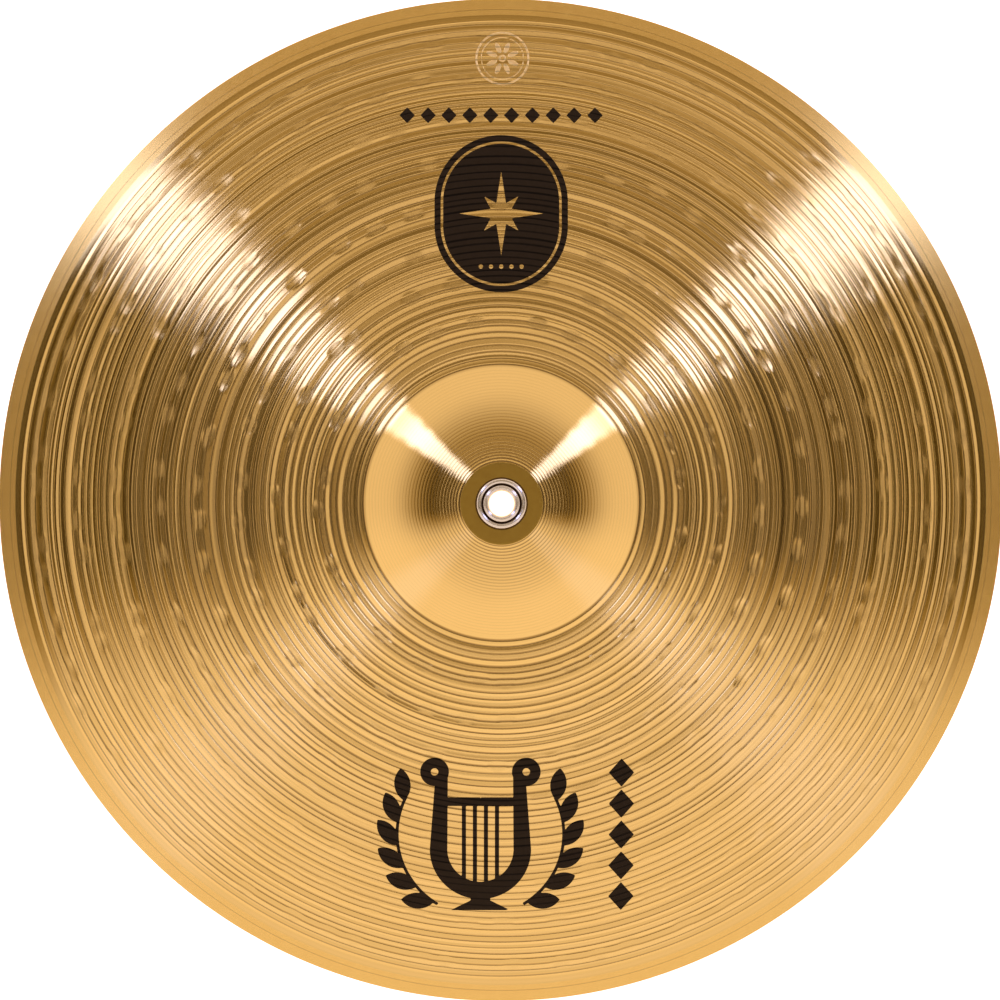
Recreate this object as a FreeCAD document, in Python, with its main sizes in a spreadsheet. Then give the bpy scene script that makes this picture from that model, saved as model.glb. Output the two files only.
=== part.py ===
import FreeCAD, Part
import math
import os

import Sketcher

# A band cymbal: one spun brass plate, an eyelet of two pieces in its centre hole, and four printed marks.
# The cymbal lies bell up on its rim: the origin is on the axis in the plane that the rim rests on, +Z points
# out of the bell, and +Y points from the large emblem to the badge. Lengths are in millimetres.
SIZES = {
    # plate
    "outer_diameter": 457.2,
    "bell_diameter": 123.0,
    "crown_diameter": 36.4,
    "crown_height": 42.5,
    "foot_height": 22.2,
    "rim_thickness": 1.0,
    "foot_thickness": 1.45,
    "crown_thickness": 1.4,
    "rim_land": 0.9,
    "rim_edge_radius": 0.3,
    "foot_radius": 9.0,
    # eyelet
    "bore_diameter": 11.4,
    "tube_diameter": 14.5,
    "tube_clearance": 0.05,
    "flange_diameter": 21.0,
    "flange_thickness": 0.8,
    "washer_diameter": 22.3,
    "washer_seat_diameter": 17.4,
    "washer_seat_thickness": 0.5,
    "washer_edge_thickness": 0.5,
    "washer_dome_rise": 0.7,
    "lip_diameter": 16.6,
    # prints
    "ink_thickness": 0.1,
    "badge_centre_y": 130.3,
    "badge_width": 60.2,
    "badge_length": 71.2,
    "badge_border": 2.8,
    "badge_line": 1.1,
    "star_long_ray": 19.0,
    "star_short_ray": 11.0,
    "star_ray_width": 5.0,
    "badge_dot_diameter": 2.0,
    "badge_dot_drop": 24.0,
    "badge_dot_pitch": 4.6,
    "badge_dot_count": 5,
    "row_centre_y": 175.0,
    "row_lozenge_width": 7.0,
    "row_lozenge_length": 7.3,
    "row_length": 92.0,
    "row_count": 10,
    "column_centre_x": 54.5,
    "column_centre_y": -151.0,
    "column_lozenge_width": 11.6,
    "column_lozenge_length": 13.0,
    "column_length": 70.0,
    "column_count": 5,
    "emblem_centre_x": -9.4,
    "emblem_centre_y": -150.7,
    "emblem_width": 94.0,
    "emblem_length": 70.3,
    "bowl_width": 46.0,
    "bowl_band": 8.0,
    "bowl_centre_drop": 7.0,
    "arm_top_inset": 5.5,
    "arm_top_width": 5.5,
    "scroll_diameter": 13.0,
    "scroll_outset": 0.5,
    "scroll_eye_diameter": 3.4,
    "yoke_height": 15.0,
    "yoke_width": 4.0,
    "string_width": 1.9,
    "string_pitch": 5.0,
    "string_count": 4,
    "foot_plate_width": 27.0,
    "foot_plate_length": 4.5,
    "stem_width": 9.0,
    "leaf_length": 15.0,
    "leaf_width": 7.4,
    "leaf_lean": 30.0,
    "leaf_count": 6,
    "spray_diameter": 75.6,
    "spray_first_angle": -56.0,
    "spray_turn": 80.0,
    "spray_stem_width": 1.4,
    "spray_stem_overrun": 3.0,
}

doc = FreeCAD.newDocument("band_cymbal")
sheet = doc.addObject("Spreadsheet::Sheet", "sizes")
for row, (alias, value) in enumerate(SIZES.items(), start=1):
    sheet.set(f"A{row}", alias)
    sheet.set(f"B{row}", str(value))
    sheet.setAlias(f"B{row}", alias)
doc.recompute()


class Measure:
    """A length held as a number and as the sheet expression that it comes from."""

    def __init__(self, value, formula):
        self.value = value
        self.formula = formula

    def joined(self, other, sign, value):
        formula = other.formula if isinstance(other, Measure) else str(other)
        return Measure(value, f"({self.formula} {sign} {formula})")

    def __add__(self, other):
        return self.joined(other, "+", self.value + amount(other))

    def __sub__(self, other):
        return self.joined(other, "-", self.value - amount(other))

    def __mul__(self, other):
        return self.joined(other, "*", self.value * amount(other))

    def __truediv__(self, other):
        return self.joined(other, "/", self.value / amount(other))


def amount(length):
    return length.value if isinstance(length, Measure) else length


def size(alias):
    """The measure of one cell of the sheet."""
    return Measure(float(sheet.get(alias)), f"sizes.{alias}")


def sine(angle):
    """The sine of a measure in degrees."""
    return Measure(math.sin(math.radians(angle.value)), f"sin({angle.formula} * 1 deg)")


def cosine(angle):
    return Measure(math.cos(math.radians(angle.value)), f"cos({angle.formula} * 1 deg)")


ZERO = Measure(0.0, "0")
CLEAR = Measure(1.0, "1")  # how far a cutting outline stands clear of what it cuts
RIM = size("outer_diameter") / 2
BELL = size("bell_diameter") / 2
CROWN = size("crown_diameter") / 2
CROWN_TOP = size("crown_height")
CROWN_UNDERSIDE = CROWN_TOP - size("crown_thickness")

# How far apart two lengths can be and still count as the same, and by how much an arc can pass a half round
SAME_LENGTH = 0.01
HALF_ROUND_LIMIT = math.pi * 1.001

# Sketcher's own numbers for the origin, the two axes and the places on an edge
ORIGIN = (-1, 1)
VERTICAL_AXIS = -2
START, END, CENTRE = 1, 2, 3

# How an arc of an outline bends: round a point of the vertical axis, or as a half round on a level chord
ABOUT_AXIS = "about the vertical axis"
HALF_ROUND = "half round, anticlockwise"
HALF_ROUND_BACK = "half round, clockwise"


# ---- sketches -------------------------------------------------------------------------------------------

def new_body(label):
    body = doc.addObject("PartDesign::Body", label)
    body.Label = label
    body.AllowCompound = True
    return body


def new_sketch(body, name, role, shift=(ZERO, ZERO)):
    """A sketch on one of its body's origin planes, with its own origin moved by shift in that plane."""
    sketch = body.newObject("Sketcher::SketchObject", name)
    plane = next(item for item in body.Origin.OriginFeatures if item.Role == role)
    sketch.AttachmentSupport = [(plane, "")]
    sketch.MapMode = "FlatFace"
    for axis, measure in zip("xy", shift):
        sketch.setExpression(f"AttachmentOffset.Base.{axis}", measure.formula)
    return sketch


def bind(sketch, kind, where, measure):
    """Adds a dimension whose value follows the sheet."""
    index = sketch.addConstraint(Sketcher.Constraint(kind, *where, measure.value))
    sketch.setExpression(f"Constraints[{index}]", measure.formula)


def fix_point(sketch, place, point):
    for kind, measure in zip(("DistanceX", "DistanceY"), point):
        bind(sketch, kind, (*ORIGIN, *place), measure)


def centre_on_axis(start, end):
    """The point of the vertical axis that is as far from start as from end."""
    (x0, y0), (x1, y1) = start, end
    return 0.0, (x0 * x0 + y0 * y0 - x1 * x1 - y1 * y1) / (2 * (y0 - y1))


def centre_at_left(start, end, radius):
    """The centre of the short arc of this radius that runs anticlockwise from start to end."""
    (x0, y0), (x1, y1) = start, end
    chord = math.hypot(x1 - x0, y1 - y0)
    rise = math.sqrt(radius * radius - chord * chord / 4)
    return (x0 + x1) / 2 - (y1 - y0) / chord * rise, (y0 + y1) / 2 + (x1 - x0) / chord * rise


def add_arc(sketch, start, end, bend):
    """Adds an arc and returns it with the places of its two ends.

    bend is ABOUT_AXIS, a half round, or the radius of a short arc that runs anticlockwise.
    """
    first, last = [(point[0].value, point[1].value) for point in (start, end)]
    if bend == ABOUT_AXIS:
        centre = centre_on_axis(first, last)
    elif bend in (HALF_ROUND, HALF_ROUND_BACK):
        centre = ((first[0] + last[0]) / 2, first[1])
    else:
        centre = centre_at_left(first, last, bend.value)
    angles = [math.atan2(y - centre[1], x - centre[0]) for x, y in (first, last)]
    sweep = (angles[1] - angles[0]) % (2 * math.pi)
    clockwise = bend == HALF_ROUND_BACK or sweep > HALF_ROUND_LIMIT
    if clockwise:
        angles.reverse()
    radius = math.hypot(first[0] - centre[0], first[1] - centre[1])
    round_about = Part.Circle(FreeCAD.Vector(*centre, 0), FreeCAD.Vector(0, 0, 1), radius)
    edge = sketch.addGeometry(Part.ArcOfCircle(round_about, *angles), False)
    if bend == ABOUT_AXIS:
        sketch.addConstraint(Sketcher.Constraint("PointOnObject", edge, CENTRE, VERTICAL_AXIS))
    elif bend in (HALF_ROUND, HALF_ROUND_BACK):
        bind(sketch, "DistanceY", (*ORIGIN, edge, CENTRE), start[1])
    else:
        bind(sketch, "Radius", (edge,), bend)
    return (edge, END, START) if clockwise else (edge, START, END)


def add_line(sketch, start, end):
    points = [FreeCAD.Vector(point[0].value, point[1].value, 0) for point in (start, end)]
    return sketch.addGeometry(Part.LineSegment(*points), False), START, END


def closed_outline(sketch, corners, bends=None):
    """Draws a closed outline through the corners. bends gives the arc after a corner, by its number."""
    bends = bends or {}
    edges = []
    for number, corner in enumerate(corners):
        following = corners[(number + 1) % len(corners)]
        if number in bends:
            edges.append(add_arc(sketch, corner, following, bends[number]))
        else:
            edges.append(add_line(sketch, corner, following))
    for number, (edge, start, _) in enumerate(edges):
        before, _, before_end = edges[number - 1]
        sketch.addConstraint(Sketcher.Constraint("Coincident", before, before_end, edge, start))
    for corner, (edge, start, _) in zip(corners, edges):
        fix_point(sketch, (edge, start), corner)


def circle(sketch, centre, radius):
    place = FreeCAD.Vector(centre[0].value, centre[1].value, 0)
    edge = sketch.addGeometry(Part.Circle(place, FreeCAD.Vector(0, 0, 1), radius.value), False)
    fix_point(sketch, (edge, CENTRE), centre)
    bind(sketch, "Radius", (edge,), radius)


def box_corners(low_x, low_y, high_x, high_y):
    return [(low_x, low_y), (high_x, low_y), (high_x, high_y), (low_x, high_y)]


# ---- features -------------------------------------------------------------------------------------------

def revolve(body, name, sketch, kind="PartDesign::Revolution"):
    turned = body.newObject(kind, name)
    turned.Profile = sketch
    turned.ReferenceAxis = (sketch, ["V_Axis"])
    turned.Angle = 360
    doc.recompute()
    return turned


def pad(body, name, sketch):
    """Stands an outline up from the rest plane to above the bow."""
    raised = body.newObject("PartDesign::Pad", name)
    raised.Profile = sketch
    raised.setExpression("Length", "sizes.crown_height")
    doc.recompute()
    return raised


def pocket(body, name, sketch):
    """Cuts an outline right through, upwards from the rest plane."""
    base = body.Tip
    cut = body.newObject("PartDesign::Pocket", name)
    cut.Profile = sketch
    cut.Type = "ThroughAll"
    cut.Reversed = True
    doc.recompute()
    assert cut.Shape.Volume < base.Shape.Volume, f"{name} cuts nothing"
    return cut


def repeat_round(body, name, feature, sketch, formula_angle, formula_count):
    """Repeats a feature about the origin of its sketch."""
    pattern = body.newObject("PartDesign::PolarPattern", name)
    pattern.Originals = [feature]
    pattern.Axis = (sketch, ["N_Axis"])
    pattern.setExpression("Angle", formula_angle)
    pattern.setExpression("Occurrences", formula_count)
    body.Tip = pattern
    doc.recompute()
    return pattern


def repeat_along(body, name, feature, sketch, axis, length, formula_count):
    pattern = body.newObject("PartDesign::LinearPattern", name)
    pattern.Originals = [feature]
    pattern.Direction = (sketch, [axis])
    pattern.setExpression("Length", length.formula)
    pattern.setExpression("Occurrences", formula_count)
    body.Tip = pattern
    doc.recompute()
    return pattern


def ring_edges(shape, radius, height):
    """The names of the round edges about the axis at this radius and height."""
    names = []
    for number, edge in enumerate(shape.Edges, start=1):
        if not isinstance(edge.Curve, Part.Circle):
            continue
        centre = edge.Curve.Center
        if abs(edge.Curve.Radius - radius) < SAME_LENGTH and abs(centre.z - height) < SAME_LENGTH:
            names.append(f"Edge{number}")
    assert names, f"no round edge at radius {radius} and height {height}"
    return names


def fillet(body, name, rings, radius_alias):
    base = body.Tip
    rounded = body.newObject("PartDesign::Fillet", name)
    edges = []
    for radius, height in rings:
        edges += ring_edges(base.Shape, radius.value, height.value)
    rounded.Base = (base, edges)
    rounded.setExpression("Radius", f"sizes.{radius_alias}")
    doc.recompute()
    return rounded


# ---- plate and eyelet -----------------------------------------------------------------------------------

def make_plate():
    """The spun plate: flat crown, domed bell, shallow bow and a narrow flat land under the rim."""
    body = new_body("cymbal_plate")
    profile = new_sketch(body, "plate_profile", "XZ_Plane")
    hole = size("tube_diameter") / 2 + size("tube_clearance")
    foot_top = size("foot_height")
    foot_underside = foot_top - size("foot_thickness")
    corners = [
        (hole, CROWN_UNDERSIDE),
        (CROWN, CROWN_UNDERSIDE),
        (BELL, foot_underside),
        (RIM - size("rim_land"), ZERO),
        (RIM, ZERO),
        (RIM, size("rim_thickness")),
        (BELL, foot_top),
        (CROWN, CROWN_TOP),
        (hole, CROWN_TOP),
    ]
    bell_under, bow_under, bow_over, bell_over = 1, 2, 5, 6
    sloping_sides = (bell_under, bow_under, bow_over, bell_over)
    closed_outline(profile, corners, {side: ABOUT_AXIS for side in sloping_sides})
    revolve(body, "plate_sheet", profile)
    fillet(body, "bell_foot_blend", [(BELL, foot_top), (BELL, foot_underside)], "foot_radius")
    fillet(body, "rim_rounding", [(RIM, size("rim_thickness")), (RIM, ZERO)], "rim_edge_radius")


def make_barrel():
    """The eyelet's tube, with its flange inside the bell and its lip rolled over the washer's seat."""
    body = new_body("eyelet_barrel")
    profile = new_sketch(body, "barrel_profile", "XZ_Plane")
    bore = size("bore_diameter") / 2
    tube = size("tube_diameter") / 2
    lip = size("lip_diameter") / 2
    flange = size("flange_diameter") / 2
    flange_underside = CROWN_UNDERSIDE - size("flange_thickness")
    lip_height = CROWN_TOP + size("washer_seat_thickness")
    corners = [
        (bore, flange_underside),
        (flange, flange_underside),
        (flange, CROWN_UNDERSIDE),
        (tube, CROWN_UNDERSIDE),
        (tube, lip_height),
        (lip, lip_height),
        (bore, lip_height),
    ]
    lip_side = 5
    closed_outline(profile, corners, {lip_side: HALF_ROUND})
    revolve(body, "barrel_tube", profile)


def make_washer():
    """The domed ring under the rolled lip: a thin seat for the lip inside, and a dome round it."""
    body = new_body("eyelet_washer")
    profile = new_sketch(body, "washer_profile", "XZ_Plane")
    inside = size("tube_diameter") / 2 + size("tube_clearance")
    seat = size("washer_seat_diameter") / 2
    outside = size("washer_diameter") / 2
    seat_height = CROWN_TOP + size("washer_seat_thickness")
    edge_height = CROWN_TOP + size("washer_edge_thickness")
    half_width = (outside - seat) / 2
    rise = size("washer_dome_rise")
    dome_radius = (half_width * half_width + rise * rise) / (rise * 2)
    corners = [
        (inside, CROWN_TOP),
        (outside, CROWN_TOP),
        (outside, edge_height),
        (seat, seat_height),
        (inside, seat_height),
    ]
    dome_side = 2
    closed_outline(profile, corners, {dome_side: dome_radius})
    revolve(body, "washer_ring", profile)


# ---- prints ---------------------------------------------------------------------------------------------

def trim_to_bow(body):
    """Keeps of the standing outline only an even layer on the upper face of the bow."""
    for name, lift, far_height in (
        ("under_ink", ZERO, ZERO - CLEAR),
        ("over_ink", size("ink_thickness"), CROWN_TOP + CLEAR),
    ):
        inner = size("foot_height") + lift
        outer = size("rim_thickness") + lift
        profile = new_sketch(body, f"{body.Label}_{name}_profile", "XZ_Plane")
        closed_outline(
            profile,
            [(BELL, inner), (RIM, outer), (RIM, far_height), (BELL, far_height)],
            {0: ABOUT_AXIS},
        )
        base_volume = body.Tip.Shape.Volume
        groove = revolve(body, f"{body.Label}_{name}", profile, "PartDesign::Groove")
        assert groove.Shape.Volume < base_volume, f"{groove.Label} cuts nothing"


def stadium(sketch, width, length):
    """An upright oval of two half rounds and two straight sides, about the sketch's origin."""
    side = width / 2
    end = (length - width) / 2
    corners = [(ZERO - side, ZERO - end), (side, ZERO - end), (side, end), (ZERO - side, end)]
    closed_outline(sketch, corners, {0: HALF_ROUND, 2: HALF_ROUND})


def turned(point, angle):
    """A point turned anticlockwise about the sketch's origin."""
    x, y = point
    return x * cosine(angle) - y * sine(angle), x * sine(angle) + y * cosine(angle)


def make_badge():
    """An oval badge with a bare line inside its border, a bare eight-pointed star and a row of bare dots."""
    body = new_body("badge_print")
    centre = (ZERO, size("badge_centre_y"))
    width = size("badge_width")
    length = size("badge_length")
    outline = new_sketch(body, "badge_outline", "XY_Plane", centre)
    stadium(outline, width, length)
    pad(body, "badge_field", outline)

    line = new_sketch(body, "badge_line_outline", "XY_Plane", centre)
    for inset in (size("badge_border"), size("badge_border") + size("badge_line")):
        stadium(line, width - inset * 2, length - inset * 2)
    pocket(body, "badge_bare_line", line)

    for name, turn in (("long", ZERO), ("short", ZERO + 45)):
        ray = new_sketch(body, f"star_{name}_ray_outline", "XY_Plane", centre)
        reach = size(f"star_{name}_ray")
        shoulder = size("star_ray_width") / 2
        kite = [(ZERO, ZERO), (shoulder, shoulder), (ZERO, reach), (ZERO - shoulder, shoulder)]
        closed_outline(ray, [turned(point, turn) for point in kite])
        cut = pocket(body, f"star_{name}_cut", ray)
        repeat_round(body, f"star_{name}_cuts", cut, ray, "360", "4")

    dots = new_sketch(body, "badge_dot_outline", "XY_Plane", centre)
    travel = size("badge_dot_pitch") * (size("badge_dot_count") - 1)
    circle(dots, (ZERO - travel / 2, ZERO - size("badge_dot_drop")), size("badge_dot_diameter") / 2)
    dot = pocket(body, "badge_dot", dots)
    repeat_along(body, "badge_dots", dot, dots, "H_Axis", travel, "sizes.badge_dot_count")
    trim_to_bow(body)


def lozenge(sketch, centre, width, length):
    x, y = centre
    corners = [(x, y - length / 2), (x + width / 2, y), (x, y + length / 2), (x - width / 2, y)]
    closed_outline(sketch, corners)


def make_row():
    """A level row of lozenges above the badge."""
    body = new_body("row_print")
    width = size("row_lozenge_width")
    travel = size("row_length") - width
    outline = new_sketch(body, "row_outline", "XY_Plane", (ZERO, size("row_centre_y")))
    lozenge(outline, (ZERO - travel / 2, ZERO), width, size("row_lozenge_length"))
    mark = pad(body, "row_lozenge", outline)
    repeat_along(body, "row_lozenges", mark, outline, "H_Axis", travel, "sizes.row_count")
    trim_to_bow(body)


def make_column():
    """An upright column of lozenges beside the emblem."""
    body = new_body("column_print")
    length = size("column_lozenge_length")
    travel = size("column_length") - length
    centre = (size("column_centre_x"), size("column_centre_y"))
    outline = new_sketch(body, "column_outline", "XY_Plane", centre)
    lozenge(outline, (ZERO, ZERO - travel / 2), size("column_lozenge_width"), length)
    mark = pad(body, "column_lozenge", outline)
    repeat_along(body, "column_lozenges", mark, outline, "V_Axis", travel, "sizes.column_count")
    trim_to_bow(body)


def make_lyre(body, centre):
    """The lyre in the middle of the emblem, about the emblem's centre."""
    outer = size("bowl_width") / 2
    inner = outer - size("bowl_band")
    drop = ZERO - size("bowl_centre_drop")
    half_length = size("emblem_length") / 2
    top = half_length - size("scroll_diameter") / 2

    bowl = new_sketch(body, "bowl_outline", "XY_Plane", centre)
    closed_outline(
        bowl,
        [(ZERO - outer, drop), (outer, drop), (inner, drop), (ZERO - inner, drop)],
        {0: HALF_ROUND, 2: HALF_ROUND_BACK},
    )
    pad(body, "lyre_bowl", bowl)

    arms = new_sketch(body, "arm_outlines", "XY_Plane", centre)
    arm_outer_top = outer - size("arm_top_inset") + size("arm_top_width") / 2
    arm_inner_top = arm_outer_top - size("arm_top_width")
    for side in (1, -1):
        corners = [(inner, drop), (outer, drop), (arm_outer_top, top), (arm_inner_top, top)]
        closed_outline(arms, [(x * side, y) for x, y in corners[::side]])
    pad(body, "lyre_arms", arms)

    scrolls = new_sketch(body, "scroll_outlines", "XY_Plane", centre)
    scroll_x = arm_outer_top + size("scroll_outset")
    for side in (1, -1):
        circle(scrolls, (scroll_x * side, top), size("scroll_diameter") / 2)
    pad(body, "lyre_scrolls", scrolls)

    eyes = new_sketch(body, "scroll_eye_outlines", "XY_Plane", centre)
    for side in (1, -1):
        circle(eyes, (scroll_x * side, top), size("scroll_eye_diameter") / 2)
    pocket(body, "lyre_scroll_eyes", eyes)

    yoke = new_sketch(body, "yoke_outline", "XY_Plane", centre)
    half_yoke = size("yoke_width") / 2
    yoke_height = size("yoke_height")
    corners = box_corners(ZERO - inner, yoke_height - half_yoke, inner, yoke_height + half_yoke)
    closed_outline(yoke, corners)
    pad(body, "lyre_yoke", yoke)

    strings = new_sketch(body, "string_outline", "XY_Plane", centre)
    travel = size("string_pitch") * (size("string_count") - 1)
    half_string = size("string_width") / 2
    first = ZERO - travel / 2
    closed_outline(strings, box_corners(first - half_string, drop - inner, first + half_string, yoke_height))
    string = pad(body, "lyre_string", strings)
    repeat_along(body, "lyre_strings", string, strings, "H_Axis", travel, "sizes.string_count")

    foot = new_sketch(body, "foot_outline", "XY_Plane", centre)
    bottom = ZERO - half_length
    half_foot = size("foot_plate_width") / 2
    half_stem = size("stem_width") / 2
    shoulder = bottom + size("foot_plate_length")
    bowl_height = drop - outer + size("bowl_band") / 2
    closed_outline(
        foot,
        [
            (ZERO - half_foot, bottom),
            (half_foot, bottom),
            (half_stem, shoulder),
            (half_stem, bowl_height),
            (ZERO - half_stem, bowl_height),
            (ZERO - half_stem, shoulder),
        ],
    )
    pad(body, "lyre_foot", foot)


def make_sprays(body, centre):
    """A leafy stem each side of the lyre, bent round the emblem's centre."""
    first = size("spray_first_angle")
    heading = first + 90 - size("leaf_lean")
    length = size("leaf_length")
    width = size("leaf_width")
    side_radius = (length * length + width * width) / (width * 4)
    radius = size("spray_diameter") / 2
    half_stem = size("spray_stem_width") / 2
    for name, side in (("right", 1), ("left", -1)):
        outline = new_sketch(body, f"{name}_leaf_outline", "XY_Plane", centre)
        root = (radius * cosine(first), radius * sine(first))
        tip = (root[0] + length * cosine(heading), root[1] + length * sine(heading))
        ends = [(x * side, y) for x, y in (root, tip)]
        closed_outline(outline, ends, {0: side_radius, 1: side_radius})
        leaf = pad(body, f"{name}_leaf", outline)
        spray = repeat_round(body, f"{name}_leaves", leaf, outline, "sizes.spray_turn", "sizes.leaf_count")
        spray.Reversed = side < 0
        doc.recompute()

        stem = new_sketch(body, f"{name}_stem_outline", "XY_Plane", centre)
        low = first - size("spray_stem_overrun")
        high = first + size("spray_turn") + size("spray_stem_overrun")
        outside = radius + half_stem
        inside = radius - half_stem
        corners = [(outside, low), (outside, high), (inside, high), (inside, low)]
        points = [(reach * cosine(angle) * side, reach * sine(angle)) for reach, angle in corners]
        closed_outline(stem, points, {0: ABOUT_AXIS, 2: ABOUT_AXIS})
        pad(body, f"{name}_stem", stem)


def make_emblem():
    """The large emblem below the bell: a lyre between two sprays of leaves."""
    body = new_body("emblem_print")
    centre = (size("emblem_centre_x"), size("emblem_centre_y"))
    make_lyre(body, centre)
    make_sprays(body, centre)
    trim_to_bow(body)


# ---- checks and files -----------------------------------------------------------------------------------

def check_document():
    for item in doc.Objects:
        failed = {"Invalid", "Error"} & set(item.State)
        assert not failed, f"{item.Label} is {failed}"
        if item.TypeId == "Sketcher::SketchObject":
            assert item.solve() == 0, f"{item.Label} does not solve"
            assert item.FullyConstrained, f"{item.Label} is loose"


def write_parts():
    os.makedirs("parts", exist_ok=True)
    for body in [item for item in doc.Objects if item.TypeId == "PartDesign::Body"]:
        shape = body.Shape
        assert not shape.isNull() and shape.isValid(), f"{body.Label} has no valid shape"
        shape.exportStep(f"parts/{body.Label}.step")
        box = shape.BoundBox
        print(f"{body.Label}: {len(shape.Solids)} solids, {shape.Volume:.1f} mm3, "
              f"x {box.XMin:.2f} to {box.XMax:.2f}, y {box.YMin:.2f} to {box.YMax:.2f}, "
              f"z {box.ZMin:.2f} to {box.ZMax:.2f}")


make_plate()
make_barrel()
make_washer()
make_badge()
make_row()
make_column()
make_emblem()
doc.recompute()
check_document()
write_parts()
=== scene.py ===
"""A lathed brass band cymbal, lying bell up, seen from straight above."""
import math

import bpy
import numpy as np
from mathutils import Matrix, Vector


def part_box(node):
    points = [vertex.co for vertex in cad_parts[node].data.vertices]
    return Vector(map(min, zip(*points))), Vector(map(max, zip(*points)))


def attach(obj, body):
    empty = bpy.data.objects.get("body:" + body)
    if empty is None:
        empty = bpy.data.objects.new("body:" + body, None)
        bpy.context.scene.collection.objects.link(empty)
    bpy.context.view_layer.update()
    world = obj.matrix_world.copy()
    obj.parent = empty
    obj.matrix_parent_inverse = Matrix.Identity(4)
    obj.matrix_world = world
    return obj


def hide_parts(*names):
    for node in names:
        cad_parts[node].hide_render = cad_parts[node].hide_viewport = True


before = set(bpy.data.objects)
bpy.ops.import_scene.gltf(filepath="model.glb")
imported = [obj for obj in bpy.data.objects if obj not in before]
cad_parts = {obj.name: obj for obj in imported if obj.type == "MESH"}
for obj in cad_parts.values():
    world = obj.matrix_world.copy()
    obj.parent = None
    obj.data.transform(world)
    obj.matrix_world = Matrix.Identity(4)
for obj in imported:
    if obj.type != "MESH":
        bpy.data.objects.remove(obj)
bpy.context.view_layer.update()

MM = 0.001

# ---- the cymbal's section, in metres --------------------------------------------------------------------
PLATE_LOW, PLATE_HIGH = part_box("cymbal_plate")
RIM_RADIUS = PLATE_HIGH[0]
CROWN_HEIGHT = PLATE_HIGH[2]
HOLE_RADIUS = 7.3 * MM
CROWN_RADIUS = 18.2 * MM
BELL_RADIUS = 61.5 * MM
FOOT_HEIGHT = 22.2 * MM
RIM_THICKNESS = 1.0 * MM
FOOT_THICKNESS = 1.45 * MM
CROWN_THICKNESS = 1.4 * MM
RIM_LAND = 0.9 * MM
RIM_ROUNDING = 0.3 * MM
FOOT_BLEND = 0.95 * MM
LATHED_EDGE = RIM_RADIUS - 9.0 * MM
RIM_BAND_START = LATHED_EDGE + 1.0 * MM
WASHER_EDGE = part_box("eyelet_washer")[1][0]

# The number of columns of points round the axis, the first random seed, and a length too small to matter.
COLUMNS = 540
SEED = 18
TOLERANCE = 0.01 * MM


def arc_height(radius, inner, outer):
    """The height at a radius of an arc that is centred on the axis and passes through two points."""
    (r0, z0), (r1, z1) = inner, outer
    centre = (r0 * r0 + z0 * z0 - r1 * r1 - z1 * z1) / (2 * (z0 - z1))
    reach = math.hypot(r0, z0 - centre)
    return centre + np.sqrt(np.maximum(reach * reach - radius * radius, 0.0))


def sheet_height(radius, crown, foot, rim):
    """The height of one face of the sheet: flat crown, domed bell, soft foot and shallow bow."""
    bell = arc_height(radius, (CROWN_RADIUS, crown), (BELL_RADIUS, foot))
    bow = arc_height(radius, (BELL_RADIUS, foot), rim)
    blended = (bell + bow + np.hypot(bell - bow, FOOT_BLEND)) / 2
    return np.where(radius < CROWN_RADIUS, crown, np.minimum(blended, crown))


def upper_height(radius):
    """The height of the upper face before the lathe and the hammer."""
    return sheet_height(radius, CROWN_HEIGHT, FOOT_HEIGHT, (RIM_RADIUS, RIM_THICKNESS))


def lower_height(radius):
    """The height of the lower face before the lathe. It ends in the flat land that the rim rests on."""
    crown = CROWN_HEIGHT - CROWN_THICKNESS
    foot = FOOT_HEIGHT - FOOT_THICKNESS
    return sheet_height(radius, crown, foot, (RIM_RADIUS - RIM_LAND, 0.0))


# ---- lathe rings and hammer marks -----------------------------------------------------------------------

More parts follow.
